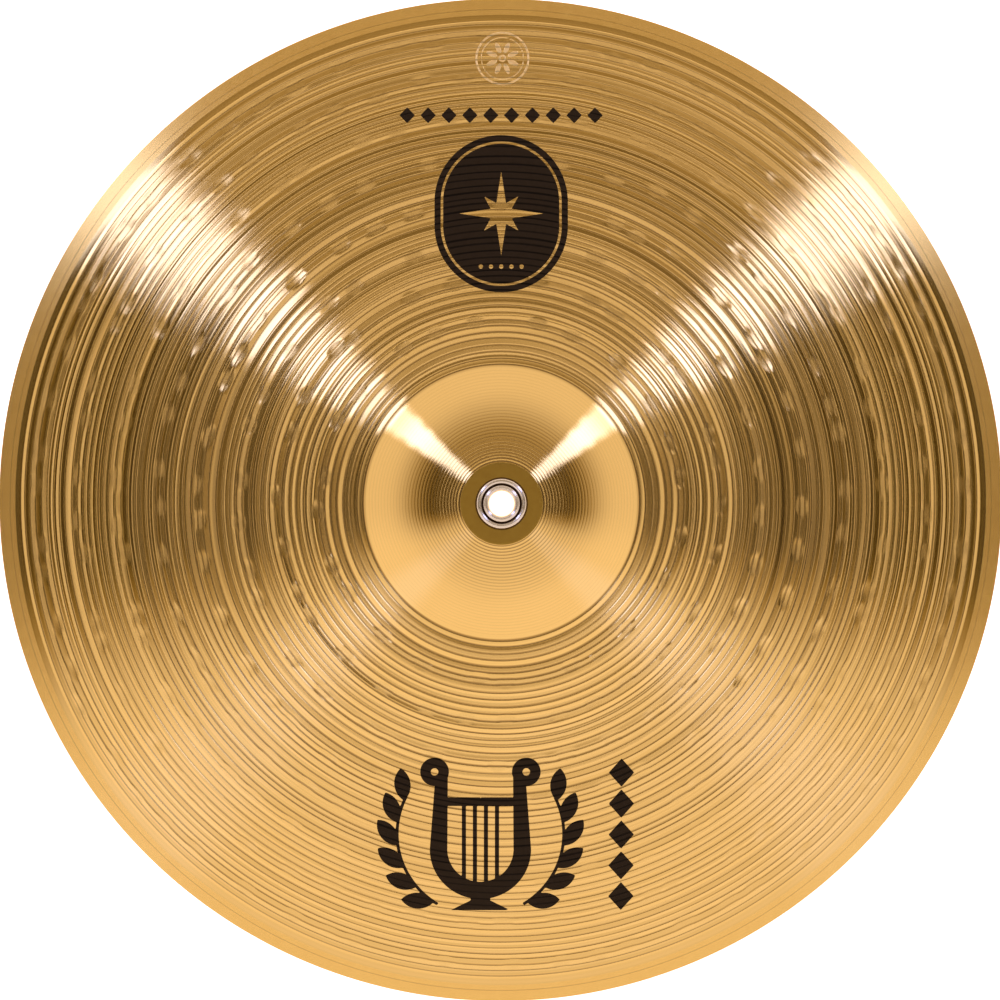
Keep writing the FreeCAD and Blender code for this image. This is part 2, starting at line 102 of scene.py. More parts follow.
class Lathing:
    """The marks that the lathe leaves on one face: narrow cuts, with slightly tilted lands between them.

    A cut is its middle radius, half its width, its depth and how dark the shade painted into it is, from 0
    to 1.
    A bend is the radius where two lands meet, and the depth there.
    """

    # Where a cut gets rows of points, in half widths from its middle, and where a bend gets them.
    CUT_PLACES = (-1.25, -1.0, -0.6, -0.2, 0.2, 0.6, 1.0, 1.25)
    BEND_PLACES = (-0.06 * MM, 0.06 * MM)
    LONGEST_STEP = 0.7 * MM
    LEAST_STEP = 0.05 * MM

    LAND_WIDTH = 1.15 * MM
    INNER_BOW_END = 100 * MM
    MIDDLE_BOW_END = 170 * MM
    OUTER_BOW_END = LATHED_EDGE - 3 * MM
    RUN_OUT = 1 * MM
    # RIM_LINE is a fine shallow cut on the rim band with a little painted shade. The next entry paints the
    # washer's shadow on the crown as a dark ring, with a token cut depth.
    RIM_LINE = (RIM_RADIUS - 5.1 * MM, 0.3 * MM, 0.03 * MM, 0.3)
    WASHER_SHADOW = (WASHER_EDGE + 0.25 * MM, 0.5 * MM, 0.03 * MM, 1.0)
    BELL_PITCH = 1.4 * MM
    BELL_HALF_WIDTH = 0.4 * MM
    BELL_DEPTH = 0.06 * MM
    # How dark the painted shade in the bell's cuts is.
    BELL_SHADE = 0.9
    BELL_FADE = 0.9
    BELL_FADE_SHARE = 0.6
    LARGEST_SWELL = 0.3

    def __init__(self, seed):
        self.rng = np.random.default_rng(seed)
        self.cuts = []
        self.bends = [(HOLE_RADIUS, 0.0), (BELL_RADIUS, 0.0)]
        self.cut_bell()
        self.cut_bow(self.INNER_BOW_END, pitch=3.2, spread=0.18, tilts=(3, 7),
                     half_widths=(0.45, 0.8), depth_ratios=(0.24, 0.36), shade_amount=0.9)
        self.cut_bow(self.MIDDLE_BOW_END, pitch=3.0, spread=0.15, tilts=(3, 8),
                     half_widths=(0.4, 0.65), depth_ratios=(0.22, 0.34), shade_amount=0.9)
        self.cut_bow(self.OUTER_BOW_END, pitch=2.8, spread=0.08, tilts=(3, 7),
                     half_widths=(0.35, 0.55), depth_ratios=(0.20, 0.30), shade_amount=0.65)
        self.bends += [(self.bends[-1][0] + self.RUN_OUT, 0.0), (RIM_RADIUS, 0.0)]
        self.cuts += [self.RIM_LINE, self.WASHER_SHADOW]
        self.swell = self.rng.uniform(-self.LARGEST_SWELL, self.LARGEST_SWELL, (4, len(self.bends)))

    def cut_bell(self):
        """Fine even cuts, which fade by BELL_FADE over the upper BELL_FADE_SHARE of the bell."""
        count = int((BELL_RADIUS - CROWN_RADIUS) / self.BELL_PITCH)
        for number in range(count):
            radius = CROWN_RADIUS + (number + 0.5) * self.BELL_PITCH
            fading = 1 - self.BELL_FADE * min(number / (self.BELL_FADE_SHARE * count), 1.0)
            depth = self.BELL_DEPTH * fading * self.rng.uniform(0.7, 1.2)
            self.cuts.append((radius, self.BELL_HALF_WIDTH, depth, self.BELL_SHADE * fading))

    def cut_bow(self, end, pitch, spread, tilts, half_widths, depth_ratios, shade_amount):
        """Cuts onwards to the radius end. Lands that tilt in and out by turns follow each cut.

        pitch and half_widths are in millimetres, and tilts in degrees. Each pair is a range to draw from.
        """
        radius, depth = self.bends[-1]
        while radius < end:
            step = pitch * MM * math.exp(spread * self.rng.standard_normal())
            half_width = self.rng.uniform(*half_widths) * MM
            deepest = half_width * self.rng.uniform(*depth_ratios)
            # The last entry of a cut is how dark the shade painted into it is, a little different for each
            # cut.
            self.cuts.append((radius + half_width, half_width, deepest, shade_amount * self.rng.uniform(0.6, 1.1)))
            edge = radius + 2 * half_width
            count = max(1, int(round((radius + step - edge) / self.LAND_WIDTH)))
            shares = self.rng.uniform(0.6, 1.4, count)
            ends = edge + np.cumsum(shares) / shares.sum() * (radius + step - edge)
            self.bends.append((edge, depth))
            for land_end in ends:
                tilt = math.tan(math.radians(self.rng.uniform(*tilts)))
                depth += (land_end - edge) * (-tilt if depth > 0 else tilt)
                self.bends.append((land_end, depth))
                edge = land_end
            radius += step

    def rows(self, start, end):
        """The radii between start and end that follow each cut and each land."""
        marks = [start, end]
        for centre, half_width, _, _ in self.cuts:
            marks += [centre + half_width * place for place in self.CUT_PLACES]
        for radius, _ in self.bends:
            marks += [radius + place for place in self.BEND_PLACES]
        marks = np.unique(marks)
        marks = marks[(marks >= start) & (marks <= end)]
        radii = [marks[0]]
        for mark in marks[1:]:
            gap = mark - radii[-1]
            if gap < self.LEAST_STEP:
                continue
            pieces = int(math.ceil(gap / self.LONGEST_STEP))
            radii += list(radii[-1] + gap * np.arange(1, pieces + 1) / pieces)
        radii[-1] = end
        return np.array(radii)

    def relief(self, radii, angles):
        """The depth of the cuts and lands on a grid of radii by angles."""
        first, second, third, fourth = self.swell[:, :, None]
        swell = 1 + first * np.sin(angles) + second * np.cos(angles)
        swell = swell + third * np.sin(2 * angles) + fourth * np.cos(2 * angles)
        places, depths = np.array(self.bends).T
        beyond = np.clip(np.searchsorted(places, radii), 1, len(places) - 1)
        share = (radii - places[beyond - 1]) / (places[beyond] - places[beyond - 1])
        bent = depths[:, None] * swell
        depth = bent[beyond - 1] + (bent[beyond] - bent[beyond - 1]) * np.clip(share, 0, 1)[:, None]
        for centre, half_width, deepest, _ in self.cuts:
            rows = np.flatnonzero(np.abs(radii - centre) < half_width)
            across = (radii[rows] - centre) / half_width
            depth[rows] += (deepest * (1 - across * across) ** 2)[:, None]
        return depth

    def cut_shade(self, radii):
        """How dark the shade painted into the cuts is at each radius: 0 outside the cuts, and most in the
        middle of one.
        """
        shade_amount = np.zeros(len(radii))
        for centre, half_width, _, darkness in self.cuts:
            across = np.abs(radii - centre) / half_width
            shade_amount = np.maximum(shade_amount, darkness * np.clip(1 - across * across, 0, 1))
        return shade_amount

    def tones(self, radii):
        """A tone between 0 and 1 for each radius, the same all round and all across one land."""
        tone = self.rng.uniform(0.0, 1.0, len(self.bends) + 1)
        return tone[np.searchsorted([radius for radius, _ in self.bends], radii)]


class Hammering:
    """Rings of shallow dents. A dent draws the lathe's cuts inwards by DRAG and takes away LATHING_LOST of
    their depth. Both come on gradually until the dent is DULLED_DEPTH deep.
    """

    FIRST = 81.0 * MM
    SPACING = 18.5 * MM
    RINGS = 8
    PITCH = 21.0 * MM
    SCATTER = 0.9 * MM
    DEPTH = 0.08 * MM
    HALF_ALONG = 4.8 * MM
    HALF_ACROSS = 3.2 * MM
    DRAG = 0.2 * MM
    DULLED_DEPTH = 0.3 * DEPTH
    LATHING_LOST = 0.5

    def __init__(self, seed):
        rng = np.random.default_rng(seed)
        self.marks = []
        for ring in range(self.RINGS):
            ring_radius = self.FIRST + ring * self.SPACING
            count = int(round(2 * math.pi * ring_radius / self.PITCH))
            start = rng.uniform(0, 2 * math.pi)
            for number in range(count):
                angle = start + (number + rng.uniform(-0.3, 0.3)) * 2 * math.pi / count
                radius = ring_radius + rng.normal(0.0, self.SCATTER)
                self.marks.append((angle, radius, self.DEPTH * rng.uniform(0.35, 1.15)))

    def dents(self, radii, angles):
        """The depth of the dents on a grid of radii by angles."""
        depth = np.zeros((len(radii), len(angles)))
        for angle, radius, deepest in self.marks:
            rows = np.flatnonzero(np.abs(radii - radius) < self.HALF_ACROSS)
            turn = (angles - angle + math.pi) % (2 * math.pi) - math.pi
            columns = np.flatnonzero(np.abs(turn) * radius < self.HALF_ALONG)
            along = turn[columns] * radius / self.HALF_ALONG
            across = (radii[rows] - radius) / self.HALF_ACROSS
            dent = deepest * np.clip(1 - along[None, :] ** 2 - across[:, None] ** 2, 0, 1)
            depth[np.ix_(rows, columns)] += dent
        return depth


def point_attribute(piece, name, values):
    """Stores one number for each point of a mesh, for its material to read."""
    attribute = piece.data.attributes.new(name, "FLOAT", "POINT")
    attribute.data.foreach_set("value", np.asarray(values, dtype=np.float32).ravel())


UPPER_LATHING = Lathing(SEED)
LOWER_LATHING = Lathing(SEED + 1)
HAMMERING = Hammering(SEED + 2)
UPPER_RADII = UPPER_LATHING.rows(HOLE_RADIUS, RIM_RADIUS - RIM_ROUNDING)


def upper_grid(radii, angles):
    """The upper face on a grid of radii by angles: its radii, which are drawn inwards at each dent, its
    heights, and how hammered it is, from 0 to 1.
    """
    relief = UPPER_LATHING.relief(radii, angles)
    dents = HAMMERING.dents(radii, angles)
    hammered = np.minimum(dents / HAMMERING.DULLED_DEPTH, 1.0)
    drawn = radii[:, None] - HAMMERING.DRAG * hammered
    heights = upper_height(drawn) - dents - relief * (1 - HAMMERING.LATHING_LOST * hammered)
    return drawn, heights, hammered


def lower_grid(radii, angles):
    """Heights of the lower face: its cuts go up into the sheet."""
    return lower_height(radii)[:, None] + LOWER_LATHING.relief(radii, angles)


# ---- meshes ---------------------------------------------------------------------------------------------

def mesh_object(name, vertices, faces, smooth=True):
    """A mesh object from points and faces. All the faces have the same number of corners, and smooth is
    one value for all of them or one for each.
    """
    mesh = bpy.data.meshes.new(name)
    faces = np.asarray(faces, dtype=np.int32)
    corners = faces.shape[1]
    mesh.vertices.add(len(vertices))
    mesh.vertices.foreach_set("co", np.asarray(vertices, dtype=np.float32).ravel())
    mesh.loops.add(faces.size)
    mesh.loops.foreach_set("vertex_index", faces.ravel())
    mesh.polygons.add(len(faces))
    mesh.polygons.foreach_set("loop_start", np.arange(0, faces.size, corners, dtype=np.int32))
    mesh.update(calc_edges=True)
    mesh.validate()
    mesh.polygons.foreach_set("use_smooth", np.broadcast_to(smooth, len(mesh.polygons)).astype(bool))
    piece = bpy.data.objects.new(name, mesh)
    bpy.context.scene.collection.objects.link(piece)
    return piece


def ring_faces(rows, columns):
    """Quads of a closed lathe form: each row joins the next, and the last row joins the first."""
    row = np.arange(rows)[:, None]
    column = np.arange(columns)[None, :]
    next_row = (row + 1) % rows
    next_column = (column + 1) % columns
    quads = [row * columns + column, next_row * columns + column,
             next_row * columns + next_column, row * columns + next_column]
    return np.stack(np.broadcast_arrays(*quads), axis=-1).reshape(-1, 4)


def make_plate(lathed, rim, crown):
    """The plate as one closed form, with its cuts and dents. The rim band and the crown aren't lathed."""
    angles = np.arange(COLUMNS) * (2 * math.pi / COLUMNS)
    edge = RIM_RADIUS - RIM_ROUNDING
    lower_radii = np.append(LOWER_LATHING.rows(HOLE_RADIUS, RIM_RADIUS - RIM_LAND), edge)[::-1]
    turns = np.linspace(0, math.pi / 2, 5)
    over_radii = edge + RIM_ROUNDING * np.sin(turns[1:])
    over = upper_height(edge) - RIM_ROUNDING * (1 - np.cos(turns[1:]))
    under_radii = edge + RIM_ROUNDING * np.cos(turns[:-1])
    under = RIM_ROUNDING * (1 - np.sin(turns[:-1]))

    # The land that the rim rests on stays flat.
    lower = lower_grid(lower_radii, angles)
    lower[lower_radii > RIM_RADIUS - RIM_LAND - TOLERANCE] = 0.0

    rounding = np.concatenate([over, under])
    section_radii = np.concatenate([UPPER_RADII, over_radii, under_radii, lower_radii])
    drawn, upper, upper_hammered = upper_grid(UPPER_RADII, angles)
    heights = np.concatenate([upper, np.repeat(rounding[:, None], COLUMNS, axis=1), lower])
    radii = np.repeat(section_radii[:, None], COLUMNS, axis=1)
    radii[:len(UPPER_RADII)] = drawn
    points = np.stack([radii * np.sin(angles), radii * np.cos(angles), heights], axis=-1).reshape(-1, 3)

    plate = mesh_object("lathed_plate", points, ring_faces(len(section_radii), COLUMNS))
    for material in (lathed, rim, crown):
        plate.data.materials.append(material)
    lathed_slot, rim_slot, crown_slot = range(3)
    finish = np.full(len(section_radii), lathed_slot)
    finish[section_radii > RIM_BAND_START] = rim_slot
    finish[section_radii < CROWN_RADIUS] = crown_slot
    plate.data.polygons.foreach_set("material_index", np.repeat(finish.astype(np.int32), COLUMNS))

    plain = np.zeros(len(rounding))
    # cut is how dark the painted shade is in the cuts and, on the crown, in the washer's painted shadow.
    cut = [UPPER_LATHING.cut_shade(UPPER_RADII), plain, LOWER_LATHING.cut_shade(lower_radii)]
    tone = [UPPER_LATHING.tones(UPPER_RADII), plain, LOWER_LATHING.tones(lower_radii)]
    point_attribute(plate, "cut", np.repeat(np.concatenate(cut), COLUMNS))
    point_attribute(plate, "tone", np.repeat(np.concatenate(tone), COLUMNS))
    hammered = np.zeros(radii.shape)
    hammered[:len(UPPER_RADII)] = upper_hammered
    point_attribute(plate, "hammered", hammered)
    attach(plate, "root")
    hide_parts("cymbal_plate")


# ---- eyelet ---------------------------------------------------------------------------------------------

EYELET_COLUMNS = 128


def bend(centre, radius, start, end, count):
    """Points along an arc of a section, from one angle to another in degrees."""
    turns = np.radians(np.linspace(start, end, count))
    return [(centre[0] + radius * math.cos(turn), centre[1] + radius * math.sin(turn)) for turn in turns]


def lathe_piece(name, section, node, material):
    """Turns a closed section of (radius, height, painted shade in the creases) in millimetres about the
    axis.
    """
    radii, heights, crease_shade = np.array(section).T
    angles = np.arange(EYELET_COLUMNS) * (2 * math.pi / EYELET_COLUMNS)
    points = np.stack([
        radii[:, None] * np.sin(angles) * MM,
        radii[:, None] * np.cos(angles) * MM,
        np.repeat(heights[:, None], EYELET_COLUMNS, axis=1) * MM,
    ], axis=-1).reshape(-1, 3)
    piece = mesh_object(name, points, ring_faces(len(section), EYELET_COLUMNS))
    point_attribute(piece, "crease_shade", np.repeat(crease_shade, EYELET_COLUMNS))
    piece.data.materials.append(material)
    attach(piece, "root")
    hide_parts(node)


def make_barrel(material, seat):
    """The barrel: a tube with a flange inside the bell, and a lip rolled down on the washer's seat."""
    bore, tube, lip, flange = 5.7, 7.25, 8.3, 10.5
    low, flange_top = 40.3, 41.1
    creases, crease_width, crease_depth = (6.7, 7.5), 0.13, 0.1
    section = bend((bore + 0.3, low + 0.3), 0.3, 270, 180, 4)
    section += [(bore, low + 1.2), (bore, seat - 0.9), (bore, seat - 0.3)]
    for radius, height in bend(((bore + lip) / 2, seat), (lip - bore) / 2, 180, 0, 41):
        dip = sum(math.exp(-((radius - place) / crease_width) ** 2) for place in creases)
        section.append((radius, height - crease_depth * dip))
    section += [(lip - 0.12, seat - 0.06), (tube + 0.1, seat - 0.06), (tube, seat - 0.2)]
    section += [(tube, flange_top + 0.1), (tube + 0.1, flange_top), (flange - 0.25, flange_top)]
    section += bend((flange - 0.25, flange_top - 0.25), 0.25, 90, 0, 4)
    section += bend((flange - 0.25, low + 0.25), 0.25, 0, -90, 4)
    section += [(bore + 1.2, low)]
    # Painted shade on the lip's outer edge, where it rolls down into the groove by the washer.
    shaded_from, shaded_over = lip - 0.4, 0.3
    crease_shade = [max(0.0, min(1.0, (radius - shaded_from) / shaded_over)) * (height > seat - 0.1)
             for radius, height in section]
    section = [(*point, shade_share) for point, shade_share in zip(section, crease_shade)]
    lathe_piece("rolled_barrel", section, "eyelet_barrel", material)


def make_washer(material, seat):
    """The washer: a flat seat for the lip, a step up from it, and a dome that falls to the outer edge."""
    inner, step, edge = 7.3, 8.75, 11.15
    crown, dome_middle, dome_rise, dome_radius = 42.5, 9.95, 0.7, 1.6
    section = [(inner, crown), (inner, seat), (step - 0.1, seat), (step + 0.05, seat + 0.05)]
    section += [(step + 0.3, seat + 0.42), (step + 0.5, seat + 0.58)]
    section += bend((dome_middle, seat + dome_rise - dome_radius), dome_radius, 104, 62, 9)
    section += [(edge - 0.22, seat + 0.28), (edge - 0.08, seat + 0.12), (edge, seat - 0.08), (edge, crown)]
    # Painted shade: full on the seat and the step, which lie in the groove under the lip, and three quarters
    # on the low points of the outer edge.
    crease_shade = [1.0 if radius < step + 0.2 else 0.75 * (height < seat + 0.05) for radius, height in section]
    section = [(*point, shade_share) for point, shade_share in zip(section, crease_shade)]
    lathe_piece("domed_washer", section, "eyelet_washer", material)


def make_eyelet(material):
    """The barrel and the washer, in millimetres. Both meet on the washer's seat."""
    seat = 43.0
    make_barrel(material, seat)
    make_washer(material, seat)


# ---- prints ---------------------------------------------------------------------------------------------
# Each outline is a function of x and y in millimetres from the print's centre. It is below 0 on the ink.

PRINT_COLUMNS = 4
PRINT_DEPTH = 0.10 * MM
INK_LIFT = 0.06 * MM
ETCH_LIFT = 0.03 * MM
LEAST_DISTANCE = 1e-6
ROUNDEL_CENTRE = (0.6 * MM, 201 * MM)
ROUNDEL_HALF_SIZE = (13 * MM, 13 * MM)


def disc(x, y, centre, radius):
    """A round spot."""
    return np.hypot(x - centre[0], y - centre[1]) - radius


def convex(x, y, corners):
    """A convex polygon whose corners run anticlockwise."""
    distance = np.full(x.shape, -np.inf)
    for (x0, y0), (x1, y1) in zip(corners, corners[1:] + corners[:1]):
        across = ((y1 - y0) * (x - x0) - (x1 - x0) * (y - y0)) / math.hypot(x1 - x0, y1 - y0)
        distance = np.maximum(distance, across)
    return distance


def box(x, y, low, high):
    """An upright rectangle between two corners."""
    return np.maximum(np.abs(x - (low[0] + high[0]) / 2) - (high[0] - low[0]) / 2,
                      np.abs(y - (low[1] + high[1]) / 2) - (high[1] - low[1]) / 2)


def stadium(x, y, width, length):
    """An upright shape with straight sides and half-round ends."""
    straight = (length - width) / 2
    return np.hypot(x, y - np.clip(y, -straight, straight)) - width / 2


def lozenges(x, y, width, length, travel, count, upright):
    """Lozenges in an upright or level line. travel is from the first one's centre to the last one's."""
    corners = [(0, -length / 2), (width / 2, 0), (0, length / 2), (-width / 2, 0)]
    nearest = np.full(x.shape, np.inf)
    for number in range(count):
        offset = travel * (number / (count - 1) - 0.5)
        across, along = (x, y - offset) if upright else (x - offset, y)
        nearest = np.minimum(nearest, convex(across, along, corners))
    return nearest


def badge_outline(x, y):
    """An oval field with a bare line inside its border, a bare star of eight rays and bare dots."""
    width, length, border, line = 60.2, 71.2, 2.8, 1.1
    long_ray, short_ray, half_ray = 19.0, 11.0, 2.5
    dots, dot_pitch, dot_drop, dot_radius = 5, 4.6, 24.0, 1.0
    bare = np.maximum(stadium(x, y, width - 2 * border, length - 2 * border),
                      -stadium(x, y, width - 2 * (border + line), length - 2 * (border + line)))
    for turn in range(8):
        angle = math.radians(45 * turn)
        reach = short_ray if turn % 2 else long_ray
        across = x * math.cos(angle) + y * math.sin(angle)
        along = y * math.cos(angle) - x * math.sin(angle)
        ray = [(0, 0), (half_ray, half_ray), (0, reach), (-half_ray, half_ray)]
        bare = np.minimum(bare, convex(across, along, ray))
    for number in range(dots):
        centre = (dot_pitch * (number - (dots - 1) / 2), -dot_drop)
        bare = np.minimum(bare, disc(x, y, centre, dot_radius))
    return np.maximum(stadium(x, y, width, length), -bare)


def row_outline(x, y):
    """Ten lozenges side by side."""
    return lozenges(x, y, width=7.0, length=7.3, travel=85.0, count=10, upright=False)


def column_outline(x, y):
    """Five lozenges, one above the other."""
    return lozenges(x, y, width=11.6, length=13.0, travel=57.0, count=5, upright=True)


def lyre_outline(side, y):
    """The right half of the lyre. side is the distance from its middle line."""
    outer, inner, drop, top, foot = 23.0, 15.0, -7.0, 28.65, -35.15
    arm_outside, arm_inside = 20.25, 14.75
    scroll, scroll_radius, eye_radius = (20.75, top), 6.5, 1.7
    yoke_low, yoke_high = 13.0, 17.0
    strings, half_string = (2.5, 7.5), 0.95
    foot_half_width, stem_half_width, foot_height, stem_top = 13.5, 4.5, 4.5, -26.0
    foot_overlap, past_middle = 0.5, -1.0
    middle = (outer + inner) / 2
    parts = [
        np.maximum(np.abs(np.hypot(side, y - drop) - middle) - (outer - inner) / 2, y - drop),
        convex(side, y, [(inner, drop), (outer, drop), (arm_outside, top), (arm_inside, top)]),
        disc(side, y, scroll, scroll_radius),
        box(side, y, (0, yoke_low), (inner, yoke_high)),
        convex(side, y, [(past_middle, foot), (foot_half_width, foot),
                         (stem_half_width, foot + foot_height), (past_middle, foot + foot_height)]),
        box(side, y, (past_middle, foot + foot_height - foot_overlap), (stem_half_width, stem_top)),
    ]
    for place in strings:
        low, high = (place - half_string, drop - inner), (place + half_string, (yoke_low + yoke_high) / 2)
        parts.append(box(side, y, low, high))
    return np.maximum(np.minimum.reduce(parts), -disc(side, y, scroll, eye_radius))


def spray_outline(side, y):
    """The right spray: leaves that spring from a bent stem. The angles are in degrees about the centre."""
    radius, half_stem, stem_overhang = 37.8, 0.7, 3.0
    first, turn, leaves, lean = -56.0, 80.0, 6, 30.0
    length, width = 15.0, 7.4
    side_radius = (length ** 2 + width ** 2) / (4 * width)
    angle = np.degrees(np.arctan2(y, side))
    past_ends = np.maximum(first - stem_overhang - angle, angle - first - turn - stem_overhang)
    nearest = np.maximum(np.abs(np.hypot(side, y) - radius) - half_stem, past_ends)
    for number in range(leaves):
        around = math.radians(first + turn * number / (leaves - 1))
        heading = around + math.radians(90 - lean)
        middle = (radius * math.cos(around) + length / 2 * math.cos(heading),
                  radius * math.sin(around) + length / 2 * math.sin(heading))
        leaf = np.full(side.shape, -np.inf)
        for hand in (1, -1):
            shift = hand * (side_radius - width / 2)
            centre = (middle[0] - shift * math.sin(heading), middle[1] + shift * math.cos(heading))
            leaf = np.maximum(leaf, disc(side, y, centre, side_radius))
        nearest = np.minimum(nearest, leaf)
    return nearest


def emblem_outline(x, y):
    """A lyre between two laurel sprays."""
    side = np.abs(x)
    return np.minimum(lyre_outline(side, y), spray_outline(side, y))


def roundel_outline(x, y):
    """Three thin rings, with eight small petals between the inner two."""
    reach = np.hypot(x, y)
    ring_sizes = ((11.8, 0.45), (9.6, 0.25), (1.3, 0.4))
    rings = [np.abs(reach - radius) - half_width for radius, half_width in ring_sizes]
    petal_middle, petal_half_length, petal_half_width, petal_angle = 5.2, 2.6, 1.1, math.pi / 4
    turn = (np.arctan2(y, x) + math.pi) % petal_angle - petal_angle / 2
    petals = np.hypot((reach - petal_middle) / petal_half_length, turn * reach / petal_half_width) - 1
    return np.minimum.reduce([*rings, petals])


def clip_to_outline(points, distance, triangles):
    """Keeps the part of a triangle mesh where distance is below 0, with new points along the outline."""
    inside = distance < 0
    count = inside[triangles].sum(axis=1)

    def turned(group, lead):
        """The triangles of a group, each with the corner that lead picks out put first."""
        first = lead[group].argmax(axis=1)
        return np.take_along_axis(group, (first[:, None] + np.arange(3)) % 3, axis=1)

    one = turned(triangles[count == 1], inside)
    two = turned(triangles[count == 2], ~inside)
    crossed = np.concatenate([one[:, (0, 1)], one[:, (0, 2)], two[:, (0, 1)], two[:, (0, 2)]])
    pairs, place = np.unique(np.sort(crossed, axis=1), axis=0, return_inverse=True)
    place = place.ravel() + len(points)
    one_ab, one_ac, two_ab, two_ac = np.split(place, np.cumsum([len(one), len(one), len(two)]))
    faces = np.concatenate([
        triangles[count == 3],
        np.stack([one[:, 0], one_ab, one_ac], axis=1),
        np.stack([two_ab, two[:, 1], two[:, 2]], axis=1),
        np.stack([two_ab, two[:, 2], two_ac], axis=1),
    ])
    share = distance[pairs[:, 0]] / (distance[pairs[:, 0]] - distance[pairs[:, 1]])
    between = points[pairs[:, 0]] + share[:, None] * (points[pairs[:, 1]] - points[pairs[:, 0]])
    points = np.concatenate([points, between])
    used, faces = np.unique(faces, return_inverse=True)
    return points[used], faces.reshape(-1, 3)


def print_on_bow(name, outline, centre, half_size, material, lift, node):
    """A thin closed layer in the shape of an outline, which follows the cuts and dents of the upper face.

    The part of the plate's own grid that the print covers, with finer columns, is cut to the outline. It is
    closed with a copy of itself PRINT_DEPTH below and a wall between the two.
    """
    middle = math.atan2(centre[0], centre[1])
    corners = [(centre[0] + across * half_size[0], centre[1] + along * half_size[1])
               for across in (-1, 0, 1) for along in (-1, 0, 1)]
    reaches = [math.hypot(*corner) for corner in corners]
    turns = [(math.atan2(*corner) - middle + math.pi) % (2 * math.pi) - math.pi for corner in corners]
    radii = UPPER_RADII[(UPPER_RADII > min(reaches) - 1 * MM) & (UPPER_RADII < max(reaches) + 1 * MM)]
    step = 2 * math.pi / COLUMNS / PRINT_COLUMNS
    first_column = math.floor((middle + min(turns)) / step) - 2
    last_column = math.ceil((middle + max(turns)) / step) + 2
    angles = np.arange(first_column, last_column + 1) * step
    drawn, heights, _ = upper_grid(radii, angles)
    points = np.stack([drawn * np.sin(angles), drawn * np.cos(angles), heights + lift], axis=-1)
    points = points.reshape(-1, 3)

    row = np.arange(len(radii) - 1)[:, None] * len(angles)
    corner = (row + np.arange(len(angles) - 1)[None, :]).ravel()
    beside, beyond = corner + 1, corner + len(angles)
    triangles = np.concatenate([
        np.stack([corner, beside, beyond + 1], axis=1),
        np.stack([corner, beyond + 1, beyond], axis=1),
    ])
    distance = outline((points[:, 0] - centre[0]) / MM, (points[:, 1] - centre[1]) / MM)
    distance[np.abs(distance) < LEAST_DISTANCE] = LEAST_DISTANCE
    top, faces = clip_to_outline(points, distance, triangles)

    edges = np.concatenate([faces[:, (0, 1)], faces[:, (1, 2)], faces[:, (2, 0)]])
    forward = edges[:, 0] * len(top) + edges[:, 1]
    backward = edges[:, 1] * len(top) + edges[:, 0]
    start, end = edges[~np.isin(forward, backward)].T
    below = len(top)
    solid = np.concatenate([
        faces,
        faces[:, ::-1] + below,
        np.stack([end, start, start + below], axis=1),
        np.stack([end, start + below, end + below], axis=1),
    ])
    smooth = np.arange(len(solid)) < len(faces)
    piece = mesh_object(name, np.concatenate([top, top - (0, 0, PRINT_DEPTH)]), solid, smooth)
    # The print's cut attribute is the painted shade of the cuts beneath it.
    point_attribute(piece, "cut", np.tile(UPPER_LATHING.cut_shade(np.hypot(top[:, 0], top[:, 1])), 2))
    piece.data.materials.append(material)
    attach(piece, "root")
    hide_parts(node)


def make_prints(ink, etched):
    """Each print lies where its CAD node does. The etched roundel belongs to the plate's node."""
    for name, outline, node in (
        ("badge_ink", badge_outline, "badge_print"),
        ("row_ink", row_outline, "row_print"),
        ("column_ink", column_outline, "column_print"),
        ("emblem_ink", emblem_outline, "emblem_print"),
    ):
        low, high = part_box(node)
        centre = ((low[0] + high[0]) / 2, (low[1] + high[1]) / 2)
        half_size = ((high[0] - low[0]) / 2, (high[1] - low[1]) / 2)
        print_on_bow(name, outline, centre, half_size, ink, INK_LIFT, node)
    print_on_bow("etched_roundel", roundel_outline, ROUNDEL_CENTRE, ROUNDEL_HALF_SIZE, etched, ETCH_LIFT,
                 "cymbal_plate")


# ---- materials ------------------------------------------------------------------------------------------

BRASS_BRIGHT = (1.0, 0.585, 0.165, 1)
BRASS_DULL = (0.84, 0.47, 0.11, 1)
# BRASS_DARK is the painted shade in the lathed cuts.
BRASS_DARK = (0.30, 0.15, 0.03, 1)
RIM_BRIGHT = (1.0, 0.565, 0.13, 1)
RIM_DULL = (0.92, 0.50, 0.11, 1)
CROWN_BRIGHT = (0.41, 0.215, 0.024, 1)
CROWN_DULL = (0.35, 0.170, 0.018, 1)
ETCHED_BRIGHT = (1.0, 0.62, 0.22, 1)
# The next colour is painted shade: in the raw brass's cuts, as the washer's shadow on the crown, and in the
# eyelet's creases.
SHADE_COLOUR = (0.045, 0.018, 0.006, 1)
NICKEL_BRIGHT = (0.86, 0.66, 0.42, 1)
NICKEL_DULL = (0.74, 0.55, 0.35, 1)
INK_BROWN = (0.030, 0.016, 0.006, 1)
INK_BLACK = (0.006, 0.003, 0.001, 1)

# How much of the dark colour the painted shade takes on, from 0 to 1: in the lathed cuts, and in the raw
# brass's cuts and the washer's shadow.
CUT_DARKNESS = 0.9
SHADE_DARKNESS = 0.9

LATHED_ROUGHNESS = 0.07
CUT_ROUGHNESS = 0.05
HAMMERED_ROUGHNESS = 0.05
TONE_ROUGHNESS = 0.03
FINE_ROUGHNESS = 0.04
MOTTLE_ROUGHNESS = 0.04
NICKEL_ROUGHNESS = 0.1
INK_ROUGHNESS = 0.38

# The scales of the noise, in cells per metre.
TARNISH_SCALE = 28.0
MOTTLE_SCALE = 260.0
NICKEL_SCALE = 780.0
INK_SCALE = 420.0
FINE_RING_SCALE = 2600.0


